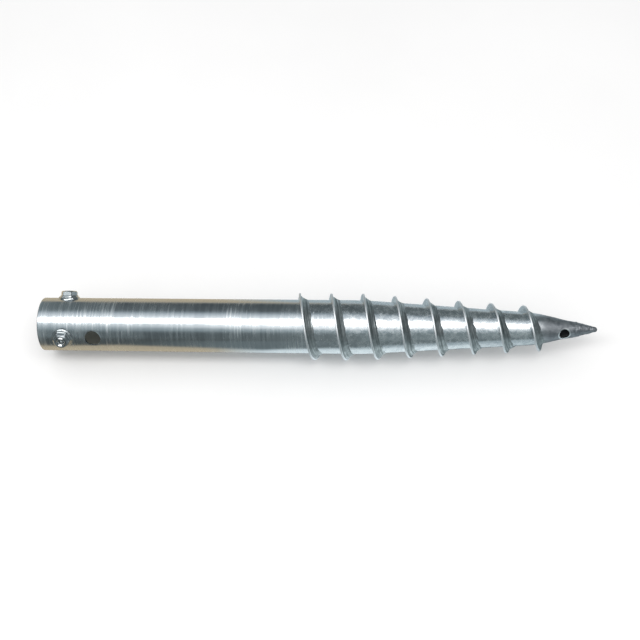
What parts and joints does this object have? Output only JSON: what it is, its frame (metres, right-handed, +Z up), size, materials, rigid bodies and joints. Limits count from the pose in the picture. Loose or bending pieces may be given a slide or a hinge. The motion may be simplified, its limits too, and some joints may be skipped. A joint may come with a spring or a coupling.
{
  "type": "ground screw",
  "caption": "Screw-in post anchor: steel tube socket with set screws at its mouth, tapering to a helical flight and a closed point.",
  "frame": {"origin": "centre of the socket's mouth, on the tube's axis", "axes": "+X along the tube's axis from the mouth to the tip, +Z up as the anchor lies on the ground on one nut and its flight"},
  "size_m": [0.702, 0.0848, 0.0856],
  "materials": {
    "galvanised_pipe": "hot-dip galvanised, bright, brushed round the tube",
    "galvanised_strip": "hot-dip galvanised",
    "galvanised_weld": "rippled weld bead under zinc",
    "zinc_nut": "bright zinc",
    "zinc_screw": "zinc plated"
  },
  "bodies": {
    "anchor": {"tube_body": "galvanised_pipe", "helical_flight": "galvanised_strip", "flight_weld": "galvanised_weld", "tip_weld": "galvanised_weld", "nut_1": "zinc_nut", "nut_2": "zinc_nut", "nut_3": "zinc_nut", "nut_weld_1": "galvanised_weld", "nut_weld_2": "galvanised_weld", "nut_weld_3": "galvanised_weld"},
    "screw_1": {"set_screw_1": "zinc_screw"},
    "screw_2": {"set_screw_2": "zinc_screw"},
    "screw_3": {"set_screw_3": "zinc_screw"}
  },
  "joints": [
    {"name": "screw_1_feed", "type": "slide", "parent": "anchor", "child": "screw_1", "axis": [0, -0.866, -0.5], "range_m": [-0.0068, 0.0042]},
    {"name": "screw_2_feed", "type": "slide", "parent": "anchor", "child": "screw_2", "axis": [0, 0.866, -0.5], "range_m": [-0.005, 0.006]},
    {"name": "screw_3_feed", "type": "slide", "parent": "anchor", "child": "screw_3", "axis": [0, 0, 1], "range_m": [-0.0068, 0.0042]}
  ]
}
